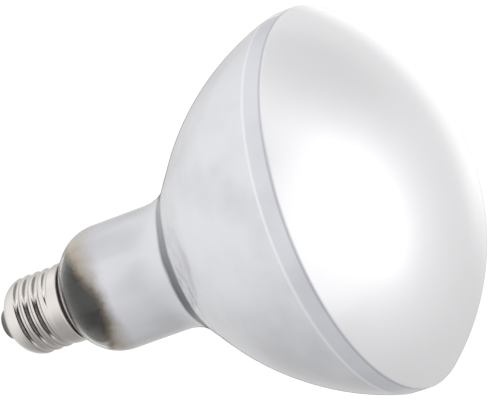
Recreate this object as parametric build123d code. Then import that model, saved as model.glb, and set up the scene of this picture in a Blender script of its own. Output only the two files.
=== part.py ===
from build123d import *
import os
from math import asin, atan2, cos, hypot, radians, sin, sqrt

# Self-ballasted mercury vapour reflector lamp on a screw cap, in millimetres.
# The lamp axis is Z. The end face of the centre contact is at z = 0 and the domed face points to +Z.

# Overall sizes
TOTAL_LENGTH = 168.0
FACE_RADIUS = 63.5
CLEARANCE = 0.03

# Screw cap: drawn and rolled sheet shell, black glass insulator, contact plate and solder
CAP_LENGTH = 27.5
SHELL_SHEET = 0.3
BARREL_RADIUS = 13.3
RIM_FLARE = 0.35
RIM_FLARE_HEIGHT = 0.9
LIP_Z = 4.1
LIP_RADIUS = 8.7
SHOULDER_Z = LIP_Z + 7.8
THREAD_PITCH = 3.629
THREAD_CREST_RADIUS = 13.2
THREAD_ROOT_RADIUS = 12.105
THREAD_ARC = 1.025
CREST_FLAT = 0.3
GROOVE_TOP_Z = CAP_LENGTH - 5.3
GROOVE_TOP_ANGLE = 180.0
THREAD_RUNOUT_TURN = 0.34
RUNOUT_LIFT = 0.25
THREAD_BOTTOM_Z = SHOULDER_Z - 1.8
SECTIONS_PER_TURN = 12
CONTACT_RADIUS = 4.5
CONTACT_SHEET = 0.5
CONTACT_HOLE_RADIUS = 1.2
INSULATOR_FACE_RADIUS = 5.0
INSULATOR_TOP_Z = LIP_Z + 3.6
INSULATOR_HOLE_RADIUS = 1.0
INSULATOR_NOSE_HOLLOW = 0.2
CEMENT_BOTTOM_Z = CAP_LENGTH - 5.9
CEMENT_TOP_Z = CAP_LENGTH - 2.1
SOLDER_DEPTH = 1.0
SIDE_SOLDER_RADIUS = 1.25
SIDE_SOLDER_DROP = 1.2

# Blown glass envelope, outside faces
WALL = 0.9
NECK_END_Z = CAP_LENGTH - 10.5
NECK_END_RADIUS = 10.9
NECK_END_FILLET = 2.5
NECK_RADIUS = 21.05
NECK_SHOULDER_RADIUS = 15.0
NECK_SHOULDER_Z = CAP_LENGTH + 14.1
BOWL_START_Z = NECK_SHOULDER_Z + 20.4
BOWL_FILLET = 19.0
BOWL_ANGLE = 47.0
CONE_LENGTH = 13.0
BAND_FRONT_Z = TOTAL_LENGTH - 31.5
BAND_BACK_Z = BAND_FRONT_Z - 6.7
BAND_BACK_RADIUS = 63.35
RIM_ROUND = 1.6
BAND_ROUND = 3.0

# Glass stem
STEM_FLANGE = 1.0
STEM_TUBE_RADIUS = 5.6
STEM_TUBE_WALL = 1.0
STEM_PINCH_Z = NECK_END_Z + 22.0
STEM_PINCH_HEIGHT = 12.0
STEM_PINCH_WIDTH = 12.0
STEM_PINCH_DEPTH = 5.0
EXHAUST_RADIUS = 2.0
EXHAUST_WALL = 0.8
EXHAUST_TIP_Z = NECK_END_Z - 6.5
EXHAUST_HOLE_RADIUS = 0.8

# Heights of the mount, from the top of the stem up
POST_BOTTOM_Z = STEM_PINCH_Z + STEM_PINCH_HEIGHT + 2.5
SHIELD_Z = POST_BOTTOM_Z + 3.5
POST_SPREAD_Z = SHIELD_Z + 3.5
SPREAD_Z = POST_SPREAD_Z + 5.0

# Arc tube, its seals and its leads
ARC_TUBE_RADIUS = 5.5
ARC_TUBE_WALL = 1.0
ARC_TUBE_BOTTOM_Z = SPREAD_Z + 17.5
ARC_TUBE_TOP_Z = ARC_TUBE_BOTTOM_Z + 36.0
ROUND_SHARE = 0.7
PINCH_HEIGHT = 12.0
PINCH_WIDTH = 10.0
PINCH_DEPTH = 3.4
LEAD_OFFSET = 2.2
FOIL_WIDTH = 2.0
FOIL_THICKNESS = 0.06
FOIL_LENGTH = 7.0
FOIL_MARGIN = 2.4
ELECTRODE_ROD_RADIUS = 0.35
ELECTRODE_COIL_RADIUS = 1.0
ELECTRODE_COIL_LENGTH = 3.0
ELECTRODE_REACH = 6.0
PROBE_RADIUS = 0.25
PROBE_REACH = 4.0
OUTER_LEAD_RADIUS = 0.4
OUTER_LEAD_OUT = 3.2

# Wires and sheet parts of the mount
LEAD_RADIUS = 0.4
LEAD_BEND = 1.2
SIDE_LEAD_RADIUS = 0.2
SIDE_LEAD_BEND = 0.8
SIDE_LEAD_RISE_Z = CAP_LENGTH - 3.5
SIDE_LEAD_RISE = 1.7
LEAD_SPACING = 6.6
POST_RADIUS = 0.8
POST_BEND = 2.5
THIN_WIRE_BEND = 1.5
FRAME_OFFSET = 9.5
FILAMENT_RING_RADIUS = 14.5
FILAMENT_RADIUS = 0.8
FILAMENT_Z = ARC_TUBE_BOTTOM_Z + 16.0
FILAMENT_GAP_ANGLE = 20.0
HOOK_RADIUS = 0.3
HOOK_ANGLES = (70.0, 125.0, 235.0, 290.0)
BEAD_RADIUS = 2.6
BEAD_HEIGHT = 3.4
BEAD_Z = POST_SPREAD_Z + 1.0
SHIELD_RADIUS = 17.0
SHIELD_SHEET = 0.4
SHIELD_RIM = 2.0
SPRING_WIDTH = 4.0
SPRING_SHEET = 0.25
SPRING_HEIGHT = 9.0
SPRING_ANGLES = (90.0, 210.0, 330.0)
STRAP_SHEET = 0.4
STRAP_HEIGHT = 3.0
STRAP_SET_BACK = 4.0
RESISTOR_RADIUS = 1.4
RESISTOR_LENGTH = 4.2
RESISTOR_LEAD_RADIUS = 0.3
GETTER_RING_RADIUS = 2.6
GETTER_SECTION_RADIUS = 0.6
GETTER_Z = ARC_TUBE_TOP_Z - 10.0


def revolved(*outline):
    """Solid of revolution about Z from edges in the XZ plane that close on themselves."""
    return revolve(make_face(Wire(outline)), Axis.Z)


def turned(*points):
    """Solid of revolution about Z from the corners (radius, height) of its half section."""
    return revolve(make_face(Polyline(*[(r, 0, z) for r, z in points], close=True)), Axis.Z)


def rod(radius, start, end):
    """Round bar from one point to another."""
    path = Line(start, end)
    return sweep(Plane(origin=path @ 0, z_dir=path % 0) * Circle(radius), path=path)


def wire(radius, bend, *points):
    """Round wire along straight runs joined by tangent arcs."""
    path = FilletPolyline(*points, radius=bend)
    return sweep(Plane(origin=path @ 0, z_dir=path % 0) * Circle(radius), path=path)


def at_angle(angle, radius, height):
    """Point at an angle in degrees round the lamp axis."""
    return (radius * cos(radians(angle)), radius * sin(radians(angle)), height)


# Screw cap


def groove_section(angle, lift, sheet):
    """Section of the helical groove at an angle in degrees, lifted outwards and set in by the sheet."""
    height = GROOVE_TOP_Z + THREAD_PITCH * (angle - GROOVE_TOP_ANGLE) / 360
    root_centre = THREAD_ROOT_RADIUS + THREAD_ARC
    crest_centre = THREAD_CREST_RADIUS - THREAD_ARC
    half_pitch = THREAD_PITCH / 2
    lean = atan2(half_pitch, root_centre - crest_centre)
    root_arc = THREAD_ARC + sheet
    crest_arc = THREAD_ARC - sheet
    edge = half_pitch - CREST_FLAT / 2
    edge_lean = asin((CREST_FLAT / 2) / crest_arc)
    crest_mid = (lean + edge_lean) / 2
    outside = THREAD_CREST_RADIUS + 3 * THREAD_ARC

    def place(along, radius):
        return at_angle(angle, radius + lift, height + along)

    def crest_point(side, turn):
        return place(side * (half_pitch - crest_arc * sin(turn)), crest_centre + crest_arc * cos(turn))

    def root_point(side):
        return place(side * root_arc * sin(lean), root_centre - root_arc * cos(lean))

    crest_low, crest_high = crest_point(-1, edge_lean), crest_point(1, edge_lean)
    edges = [
        Line(place(-edge, outside), crest_low),
        ThreePointArc(crest_low, crest_point(-1, crest_mid), root_point(-1)),
        ThreePointArc(root_point(-1), place(0, root_centre - root_arc), root_point(1)),
        ThreePointArc(root_point(1), crest_point(1, crest_mid), crest_high),
        Line(crest_high, place(edge, outside)),
        Line(place(edge, outside), place(-edge, outside)),
    ]
    return Wire(edges)


def cut_groove(body, sheet):
    """Body with the helical groove cut into it, which rises out of the wall at both ends."""
    turns = (GROOVE_TOP_Z - THREAD_BOTTOM_Z) / THREAD_PITCH + THREAD_RUNOUT_TURN
    count = round(turns * SECTIONS_PER_TURN)
    fade = round(THREAD_RUNOUT_TURN * SECTIONS_PER_TURN)
    depth = THREAD_CREST_RADIUS - THREAD_ROOT_RADIUS + RUNOUT_LIFT
    last = GROOVE_TOP_ANGLE + 360 * THREAD_RUNOUT_TURN
    sections = []
    for step in range(count + 1):
        angle = last - 360 * step / SECTIONS_PER_TURN
        rise = max(0.0, 1 - min(step, count - step) / fade)
        lift = depth * rise * rise * (3 - 2 * rise)
        sections.append(groove_section(angle, lift, sheet))
    for stretch in (sections[fade : count - fade + 1], sections[: fade + 1], sections[count - fade :]):
        body -= Solid.make_loft(stretch)
    return body


def shoulder_point(sheet, share):
    """Point on the rounded end of the shell, set in by the sheet, at a share of the way to the lip."""
    drop = SHOULDER_Z - LIP_Z
    inset = THREAD_CREST_RADIUS - LIP_RADIUS
    dome = (drop**2 + inset**2) / (2 * inset)
    turn = share * asin(drop / (dome - sheet))
    arc = dome - sheet
    return (THREAD_CREST_RADIUS - dome + arc * cos(turn), 0, SHOULDER_Z - arc * sin(turn))


def shell_body(sheet):
    """Closed body inside the shell's outer face, set in by the sheet."""
    crest = THREAD_CREST_RADIUS - sheet
    flank, lip = shoulder_point(sheet, 0.5), shoulder_point(sheet, 1.0)
    barrel_z = GROOVE_TOP_Z
    flare_z = CAP_LENGTH - RIM_FLARE_HEIGHT
    barrel = BARREL_RADIUS - sheet
    return revolved(
        Line((0, 0, LIP_Z), lip),
        ThreePointArc(lip, flank, (crest, 0, SHOULDER_Z)),
        Line((crest, 0, SHOULDER_Z), (crest, 0, barrel_z)),
        Line((crest, 0, barrel_z), (barrel, 0, barrel_z + THREAD_ARC)),
        Line((barrel, 0, barrel_z + THREAD_ARC), (barrel, 0, flare_z)),
        Line((barrel, 0, flare_z), (barrel + RIM_FLARE, 0, CAP_LENGTH)),
        Line((barrel + RIM_FLARE, 0, CAP_LENGTH), (0, 0, CAP_LENGTH)),
        Line((0, 0, CAP_LENGTH), (0, 0, LIP_Z)),
    )


def screw_shell():
    """Thin drawn shell with a rolled round thread that shows inside as well as outside."""
    return cut_groove(shell_body(0.0), 0.0) - cut_groove(shell_body(SHELL_SHEET), SHELL_SHEET)


def insulator():
    """Black glass that fills the cap's end and stands proud of its lip."""
    seat = shell_body(SHELL_SHEET + CLEARANCE)
    plug = seat & Pos(0, 0, INSULATOR_TOP_Z / 2) * Cylinder(BARREL_RADIUS, INSULATOR_TOP_Z)
    mouth = shoulder_point(SHELL_SHEET, 1.0)[0] - 2 * CLEARANCE
    nose_z = CONTACT_SHEET
    nose = revolved(
        Line((0, 0, nose_z), (INSULATOR_FACE_RADIUS, 0, nose_z)),
        ThreePointArc(
            (INSULATOR_FACE_RADIUS, 0, nose_z),
            (
                (INSULATOR_FACE_RADIUS + mouth) / 2 - INSULATOR_NOSE_HOLLOW,
                0,
                (nose_z + LIP_Z) / 2 + INSULATOR_NOSE_HOLLOW,
            ),
            (mouth, 0, LIP_Z),
        ),
        Line((mouth, 0, LIP_Z), (mouth, 0, LIP_Z + SHELL_SHEET)),
        Line((mouth, 0, LIP_Z + SHELL_SHEET), (0, 0, LIP_Z + SHELL_SHEET)),
        Line((0, 0, LIP_Z + SHELL_SHEET), (0, 0, nose_z)),
    )
    return plug + nose - Cylinder(INSULATOR_HOLE_RADIUS, 3 * INSULATOR_TOP_Z)


def centre_contact():
    """Contact plate with a hole that the solder fills."""
    plate = Pos(0, 0, CONTACT_SHEET / 2) * Cylinder(CONTACT_RADIUS, CONTACT_SHEET)
    plate = fillet(plate.edges().group_by(Axis.Z)[0], CONTACT_SHEET / 3)
    return plate - Cylinder(CONTACT_HOLE_RADIUS, 3 * CONTACT_SHEET)


def centre_solder():
    """Solder plug in the contact plate's hole, with a stub that holds the lead's end."""
    head_radius = CONTACT_HOLE_RADIUS - CLEARANCE
    stub_radius = INSULATOR_HOLE_RADIUS - CLEARANCE
    low = CONTACT_SHEET / 4
    return turned(
        (0, low),
        (head_radius, low),
        (head_radius, CONTACT_SHEET),
        (stub_radius, CONTACT_SHEET),
        (stub_radius, CONTACT_SHEET + SOLDER_DEPTH),
        (0, CONTACT_SHEET + SOLDER_DEPTH),
    )


# Side lead route: down the stem, out under it and up between the glass and the shell

SIDE_LEAD_Y = (NECK_END_RADIUS + THREAD_ROOT_RADIUS - SHELL_SHEET) / 2
SIDE_LEAD_TOP_Y = BARREL_RADIUS - SHELL_SHEET - SIDE_LEAD_RADIUS - 2 * CLEARANCE
LEAD_X = LEAD_SPACING / 2
SIDE_LEAD_TURN_Z = EXHAUST_TIP_Z + EXHAUST_RADIUS + 0.5


def side_lead_path():
    """Route of the side lead inside the cap, from the stem to the shell's rim."""
    return FilletPolyline(
        (-LEAD_X, 0, POST_BOTTOM_Z),
        (-LEAD_X, 0, SIDE_LEAD_TURN_Z),
        (0, SIDE_LEAD_Y, SIDE_LEAD_TURN_Z),
        (0, SIDE_LEAD_Y, SIDE_LEAD_RISE_Z),
        (0, SIDE_LEAD_TOP_Y, SIDE_LEAD_RISE_Z + SIDE_LEAD_RISE),
        (0, SIDE_LEAD_TOP_Y, CAP_LENGTH - SIDE_SOLDER_DROP / 2),
        radius=SIDE_LEAD_BEND,
    )


def side_lead(radius):
    """Round side lead of a radius."""
    path = side_lead_path()
    return sweep(Plane(origin=path @ 0, z_dir=path % 0) * Circle(radius), path=path)


def basing_cement():
    """Ring of cement between the glass and the shell, with the side lead's channel."""
    inset = SHELL_SHEET + CLEARANCE
    shell_space = cut_groove(shell_body(inset), inset)
    height = CEMENT_TOP_Z - CEMENT_BOTTOM_Z
    ring = Pos(0, 0, CEMENT_BOTTOM_Z + height / 2) * Cylinder(BARREL_RADIUS, height)
    channel = side_lead(SIDE_LEAD_RADIUS + CLEARANCE)
    return (ring & shell_space) - envelope_body(-CLEARANCE, NECK_END_Z) - channel


def side_solder(shell, glass, lead):
    """Solder over the rim that joins the side lead to the shell. The ball's poles lie clear of the cuts."""
    centre = (0, BARREL_RADIUS + RIM_FLARE / 2, CAP_LENGTH - SIDE_SOLDER_DROP / 2)
    drop = Pos(*centre) * Rot(0, 90, 0) * Sphere(SIDE_SOLDER_RADIUS)
    return drop - shell - glass - lead


# Glass envelope


def envelope_body(inset, bottom_z):
    """Closed body inside the envelope's outer face, set in by an amount, from a height up."""
    shoulder_r = NECK_RADIUS - NECK_SHOULDER_RADIUS
    join = NECK_SHOULDER_RADIUS + NECK_END_FILLET
    fillet_r = NECK_END_RADIUS + NECK_END_FILLET
    fillet_z = NECK_SHOULDER_Z - sqrt(join**2 - (fillet_r - shoulder_r) ** 2)
    end_lean = atan2(NECK_SHOULDER_Z - fillet_z, fillet_r - shoulder_r)
    shoulder = NECK_SHOULDER_RADIUS - inset
    end_arc = NECK_END_FILLET + inset
    seal = NECK_END_RADIUS - inset
    neck = NECK_RADIUS - inset

    def shoulder_point(lean):
        return (shoulder_r + shoulder * cos(lean), 0, NECK_SHOULDER_Z - shoulder * sin(lean))

    def end_point(lean):
        return (fillet_r - end_arc * cos(lean), 0, fillet_z + end_arc * sin(lean))

    # The bowl's cone leaves the neck fillet at the bowl angle and meets one large arc that ends at the band.
    bowl = radians(BOWL_ANGLE)
    bowl_centre_r = NECK_RADIUS + BOWL_FILLET
    concave = BOWL_FILLET + inset

    def fillet_point(lean):
        return (bowl_centre_r - concave * cos(lean), 0, BOWL_START_Z + concave * sin(lean))

    arc_r = bowl_centre_r - BOWL_FILLET * cos(bowl) + CONE_LENGTH * sin(bowl)
    arc_z = BOWL_START_Z + BOWL_FILLET * sin(bowl) + CONE_LENGTH * cos(bowl)
    chord = atan2(BAND_BACK_RADIUS - arc_r, BAND_BACK_Z - arc_z)
    turn = 2 * (bowl - chord)
    bowl_radius = hypot(BAND_BACK_RADIUS - arc_r, BAND_BACK_Z - arc_z) / (2 * sin(turn / 2))
    centre_r = arc_r - bowl_radius * cos(bowl)
    centre_z = arc_z + bowl_radius * sin(bowl)
    convex = bowl_radius - inset

    def bowl_point(lean):
        return (centre_r + convex * cos(lean), 0, centre_z - convex * sin(lean))

    rise = TOTAL_LENGTH - BAND_FRONT_Z
    dome = (FACE_RADIUS**2 + rise**2) / (2 * rise)
    dome_centre = TOTAL_LENGTH - dome
    dome_in = dome - inset
    band = FACE_RADIUS - inset
    band_front = dome_centre + sqrt(dome_in**2 - band**2)
    dome_mid = asin(band / dome_in) / 2
    apex = (0, 0, TOTAL_LENGTH - inset)
    band_back = bowl_point(bowl - turn)
    outline = make_face(
        Wire(
            [
                Line((0, 0, bottom_z), (seal, 0, bottom_z)),
                Line((seal, 0, bottom_z), end_point(0)),
                ThreePointArc(end_point(0), end_point(end_lean / 2), end_point(end_lean)),
                ThreePointArc(end_point(end_lean), shoulder_point(end_lean / 2), (neck, 0, NECK_SHOULDER_Z)),
                Line((neck, 0, NECK_SHOULDER_Z), fillet_point(0)),
                ThreePointArc(fillet_point(0), fillet_point(bowl / 2), fillet_point(bowl)),
                Line(fillet_point(bowl), bowl_point(bowl)),
                ThreePointArc(bowl_point(bowl), bowl_point(bowl - turn / 2), band_back),
                Line(band_back, (band, 0, band_front)),
                ThreePointArc(
                    (band, 0, band_front),
                    (dome_in * sin(dome_mid), 0, dome_centre + dome_in * cos(dome_mid)),
                    apex,
                ),
                Line(apex, (0, 0, bottom_z)),
            ]
        )
    )
    rounds = {(band, band_front): RIM_ROUND - inset, (band_back[0], band_back[2]): BAND_ROUND - inset}
    for (r, z), radius in rounds.items():
        corner = outline.vertices().sort_by_distance((r, 0, z))[0]
        outline = fillet(corner, radius)
    return revolve(outline, Axis.Z)


def glass_envelope():
    """Blown envelope: one wall from the seal in the cap to the domed face."""
    hollow = envelope_body(WALL, NECK_END_Z - WALL)
    return envelope_body(0.0, NECK_END_Z) - hollow


def glass_stem(leads):
    """Flange, tube, pinch and exhaust tube, fused into one piece of glass."""
    flange_z = NECK_END_Z - STEM_FLANGE
    tube_top = STEM_PINCH_Z
    tube = turned(
        (STEM_TUBE_RADIUS - STEM_TUBE_WALL, flange_z),
        (NECK_END_RADIUS, flange_z),
        (NECK_END_RADIUS, NECK_END_Z),
        (STEM_TUBE_RADIUS, NECK_END_Z),
        (STEM_TUBE_RADIUS, tube_top),
        (STEM_TUBE_RADIUS - STEM_TUBE_WALL, tube_top),
    )
    height = STEM_PINCH_HEIGHT
    pinch = Pos(0, 0, tube_top + height / 2) * Box(STEM_PINCH_WIDTH, STEM_PINCH_DEPTH, height)
    pinch = fillet(pinch.edges().filter_by(Axis.Z), STEM_PINCH_DEPTH / 4)
    crown = Pos(0, 0, tube_top) * Cylinder(STEM_TUBE_RADIUS, 2 * STEM_TUBE_WALL)
    exhaust = turned(
        (0, EXHAUST_TIP_Z),
        (EXHAUST_RADIUS / 3, EXHAUST_TIP_Z),
        (EXHAUST_RADIUS, EXHAUST_TIP_Z + EXHAUST_RADIUS),
        (EXHAUST_RADIUS, tube_top),
        (0, tube_top),
    )
    vent_z = tube_top + 2 * STEM_TUBE_WALL
    bore_bottom = EXHAUST_TIP_Z + 2 * EXHAUST_RADIUS
    bore_middle = (bore_bottom + vent_z) / 2
    bore = Pos(0, 0, bore_middle) * Cylinder(EXHAUST_RADIUS - EXHAUST_WALL, vent_z - bore_bottom)
    vent = rod(EXHAUST_HOLE_RADIUS, (0, -STEM_PINCH_DEPTH, vent_z), (0, STEM_PINCH_DEPTH, vent_z))
    stem = tube + pinch + crown + exhaust - bore - vent
    for lead in leads:
        stem -= lead
    return stem


# Leads from the cap to the posts


def centre_lead(radius):
    """Round centre lead of a radius, from the contact's solder to its post."""
    return wire(
        radius,
        LEAD_BEND,
        (0, 0, CONTACT_SHEET + SOLDER_DEPTH),
        (0, 0, INSULATOR_TOP_Z - LEAD_BEND / 2),
        (LEAD_X, 0, EXHAUST_TIP_Z + EXHAUST_RADIUS),
        (LEAD_X, 0, POST_BOTTOM_Z),
    )


# Arc tube


def arc_seals(end):
    """Where the foils sit at one end of the arc tube: (x, foil bottom z)."""
    if end > 0:
        base = ARC_TUBE_TOP_Z + FOIL_MARGIN
        return [(0.0, base)]
    base = ARC_TUBE_BOTTOM_Z - FOIL_MARGIN - FOIL_LENGTH
    return [(LEAD_OFFSET, base), (-LEAD_OFFSET, base)]


def foil(x, base, grow=0.0):
    """Thin sealing foil in a pinch."""
    size = (FOIL_WIDTH + grow, FOIL_THICKNESS + grow, FOIL_LENGTH + grow)
    return Pos(x, 0, base + FOIL_LENGTH / 2) * Box(*size)


def inner_rod(x, base, end, reach, radius):
    """Rod from the foil into the arc chamber."""
    foil_edge = base if end > 0 else base + FOIL_LENGTH
    chamber = ARC_TUBE_TOP_Z if end > 0 else ARC_TUBE_BOTTOM_Z
    low, high = sorted((foil_edge, chamber - end * reach))
    return Pos(x, 0, (low + high) / 2) * Cylinder(radius, high - low)


def outer_rod(x, base, end, radius):
    """Lead from the foil out of the pinch."""
    foil_edge = base + FOIL_LENGTH if end > 0 else base
    outside = ARC_TUBE_TOP_Z + PINCH_HEIGHT if end > 0 else ARC_TUBE_BOTTOM_Z - PINCH_HEIGHT
    low, high = sorted((foil_edge, outside + end * OUTER_LEAD_OUT))
    return Pos(x, 0, (low + high) / 2) * Cylinder(radius, high - low)


def electrode(x, base, end):
    """Tungsten rod with a closely wound sleeve at its tip."""
    tip = (ARC_TUBE_TOP_Z if end > 0 else ARC_TUBE_BOTTOM_Z) - end * ELECTRODE_REACH
    coil_z = tip + end * (ELECTRODE_COIL_LENGTH / 2 + ELECTRODE_ROD_RADIUS)
    coil = Pos(x, 0, coil_z) * Cylinder(ELECTRODE_COIL_RADIUS, ELECTRODE_COIL_LENGTH)
    return inner_rod(x, base, end, ELECTRODE_REACH, ELECTRODE_ROD_RADIUS) + coil


def arc_tube():
    """Fused quartz tube with a flat pinch at each end and hollows for what the pinches hold."""
    body_length = ARC_TUBE_TOP_Z - ARC_TUBE_BOTTOM_Z
    middle = (ARC_TUBE_TOP_Z + ARC_TUBE_BOTTOM_Z) / 2
    body = Pos(0, 0, middle) * Cylinder(ARC_TUBE_RADIUS, body_length)
    body = fillet(body.edges().filter_by(GeomType.CIRCLE), ARC_TUBE_RADIUS * ROUND_SHARE)
    pinch_length = body_length + 2 * PINCH_HEIGHT
    pinches = Pos(0, 0, middle) * Box(PINCH_WIDTH, PINCH_DEPTH, pinch_length)
    cavity_radius = ARC_TUBE_RADIUS - ARC_TUBE_WALL
    cavity = Pos(0, 0, middle) * Cylinder(cavity_radius, body_length - 2 * ARC_TUBE_WALL)
    cavity = fillet(cavity.edges().filter_by(GeomType.CIRCLE), cavity_radius * ROUND_SHARE)
    quartz = body + pinches - cavity
    for end in (1, -1):
        for x, base in arc_seals(end):
            probe = end < 0 and x < 0
            radius = PROBE_RADIUS if probe else ELECTRODE_ROD_RADIUS
            quartz -= foil(x, base, CLEARANCE)
            quartz -= inner_rod(x, base, end, PROBE_REACH, radius + CLEARANCE)
            quartz -= outer_rod(x, base, end, OUTER_LEAD_RADIUS + CLEARANCE)
    return quartz


def strap(z):
    """Sheet band round a pinch with a tongue welded to the frame post."""
    inside = Box(PINCH_WIDTH + 2 * CLEARANCE, PINCH_DEPTH + 2 * CLEARANCE, STRAP_HEIGHT)
    band = Box(PINCH_WIDTH + 2 * STRAP_SHEET, PINCH_DEPTH + 2 * STRAP_SHEET, STRAP_HEIGHT)
    edge = PINCH_WIDTH / 2 + STRAP_SHEET / 2
    reach = FRAME_OFFSET - POST_RADIUS - edge
    tongue = Pos(-edge - reach / 2, 0, 0) * Box(reach, STRAP_SHEET, STRAP_HEIGHT)
    return Pos(0, 0, z) * (band + tongue - inside)


# Posts, filament and what holds them

FRAME_TOP_Z = ARC_TUBE_TOP_Z + PINCH_HEIGHT + OUTER_LEAD_OUT + POST_RADIUS
LOWER_LEAD_Z = ARC_TUBE_BOTTOM_Z - PINCH_HEIGHT - OUTER_LEAD_OUT
FILAMENT_LOW_Z = FILAMENT_Z - FILAMENT_RADIUS


def frame_post():
    """Stiff wire from the side lead up past the arc tube and over its top."""
    return wire(
        POST_RADIUS,
        POST_BEND,
        (-LEAD_X, 0, POST_BOTTOM_Z),
        (-LEAD_X, 0, POST_SPREAD_Z),
        (-FRAME_OFFSET, 0, SPREAD_Z),
        (-FRAME_OFFSET, 0, FRAME_TOP_Z),
        (OUTER_LEAD_RADIUS * 2, 0, FRAME_TOP_Z),
    )


def filament_end(side):
    """Point under one end of the ballast filament."""
    return at_angle(side * FILAMENT_GAP_ANGLE, FILAMENT_RING_RADIUS, FILAMENT_LOW_Z)


def filament_post():
    """Stiff wire from the centre lead to the filament's first end."""
    x, y, z = filament_end(1)
    return wire(
        POST_RADIUS,
        POST_BEND,
        (LEAD_X, 0, POST_BOTTOM_Z),
        (LEAD_X, 0, POST_SPREAD_Z),
        (x, y, SPREAD_Z),
        (x, y, z),
    )


def filament_return():
    """Wire from the filament's second end down to the arc tube's lower lead."""
    x, y, z = filament_end(-1)
    low = LOWER_LEAD_Z - POST_RADIUS / 2
    end_x = LEAD_OFFSET
    return wire(POST_RADIUS / 2, THIN_WIRE_BEND, (x, y, z), (x, y, low), (end_x, 0, low))


def ballast_filament():
    """Outer form of the coiled filament, most of a ring round the arc tube."""
    span = 360 - 2 * FILAMENT_GAP_ANGLE
    section = Pos(FILAMENT_RING_RADIUS, 0, 0) * Rot(90, 0, 0) * Circle(FILAMENT_RADIUS)
    ring = revolve(section, Axis.Z, span)
    return Pos(0, 0, FILAMENT_Z) * Rot(0, 0, FILAMENT_GAP_ANGLE) * ring


def filament_hooks():
    """Thin wires from the glass bead that carry the filament."""
    hooks = []
    middle = BEAD_Z + BEAD_HEIGHT / 2
    top = FILAMENT_LOW_Z - HOOK_RADIUS / 2
    for angle in HOOK_ANGLES:
        hooks.append(
            wire(
                HOOK_RADIUS,
                THIN_WIRE_BEND,
                at_angle(angle, BEAD_RADIUS - HOOK_RADIUS, middle),
                at_angle(angle, FILAMENT_RING_RADIUS, SPREAD_Z + BEAD_RADIUS),
                at_angle(angle, FILAMENT_RING_RADIUS, top),
            )
        )
    return hooks


def bead_wire(radius):
    """Short wire that carries the glass bead on the frame post."""
    middle = BEAD_Z + BEAD_HEIGHT / 2
    slope = (FRAME_OFFSET - LEAD_X) / (SPREAD_Z - POST_SPREAD_Z)
    seat = POST_RADIUS * hypot(1, slope) + HOOK_RADIUS * slope + CLEARANCE
    post_x = LEAD_X + (middle - POST_SPREAD_Z) * slope - seat
    return rod(radius, (-post_x, 0, middle), (-HOOK_RADIUS, 0, middle))


def hook_bead(hooks):
    """Glass bead that keeps the hooks apart."""
    bead = Pos(0, 0, BEAD_Z + BEAD_HEIGHT / 2) * Cylinder(BEAD_RADIUS, BEAD_HEIGHT)
    bead = fillet(bead.edges().filter_by(GeomType.CIRCLE), BEAD_RADIUS / 4)
    for hook in hooks:
        bead -= hook
    return bead - bead_wire(HOOK_RADIUS)


def heat_shield(posts):
    """Sheet disc with a turned-down rim that keeps heat from the cap."""
    disc = Pos(0, 0, SHIELD_Z) * Cylinder(SHIELD_RADIUS, SHIELD_SHEET)
    rim_height = SHIELD_RIM
    rim = Pos(0, 0, SHIELD_Z - rim_height / 2) * Cylinder(SHIELD_RADIUS, rim_height)
    rim -= Pos(0, 0, SHIELD_Z - rim_height / 2) * Cylinder(SHIELD_RADIUS - SHIELD_SHEET, rim_height)
    shield = disc + rim
    for post in posts:
        shield -= post
    return shield


def shield_springs():
    """Leaf springs between the shield's rim and the neck."""
    springs = []
    inner = SHIELD_RADIUS + CLEARANCE
    outer = NECK_RADIUS - WALL - 2 * CLEARANCE - SPRING_WIDTH**2 / (8 * NECK_RADIUS)
    low = SHIELD_Z - SHIELD_RIM
    tip = low - SPRING_HEIGHT
    for angle in SPRING_ANGLES:
        leaf = Polyline(
            (inner, 0, SHIELD_Z),
            (inner, 0, low),
            (outer - SPRING_SHEET, 0, (low + tip) / 2),
            (outer - SPRING_SHEET, 0, tip),
            (outer, 0, tip),
            (outer, 0, (low + tip) / 2 + SPRING_SHEET),
            (inner + SPRING_SHEET, 0, low + SPRING_SHEET),
            (inner + SPRING_SHEET, 0, SHIELD_Z),
            close=True,
        )
        face = make_face(leaf)
        springs.append(Rot(0, 0, angle) * extrude(face, SPRING_WIDTH / 2, both=True))
    return springs


def starting_resistor():
    """Small resistor with a wire at each end, between the probe's lead and the frame post."""
    z = LOWER_LEAD_Z - RESISTOR_LEAD_RADIUS
    left = -FRAME_OFFSET + POST_RADIUS + CLEARANCE
    right = -LEAD_OFFSET
    body = Pos((left + right) / 2, 0, z) * Rot(0, 90, 0) * Cylinder(RESISTOR_RADIUS, RESISTOR_LENGTH)
    body = fillet(body.edges().filter_by(GeomType.CIRCLE), RESISTOR_RADIUS / 4)
    return body + rod(RESISTOR_LEAD_RADIUS, (left, 0, z), (right, 0, z))


def getter():
    """Getter ring on a short stalk welded to the frame post."""
    ring = Torus(GETTER_RING_RADIUS, GETTER_SECTION_RADIUS)
    weld_x = -FRAME_OFFSET - POST_RADIUS
    x = weld_x - 2 * GETTER_RING_RADIUS
    stalk = rod(GETTER_SECTION_RADIUS / 2, (weld_x, 0, GETTER_Z), (x + GETTER_RING_RADIUS, 0, GETTER_Z))
    return Pos(x, 0, GETTER_Z) * ring + stalk


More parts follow.
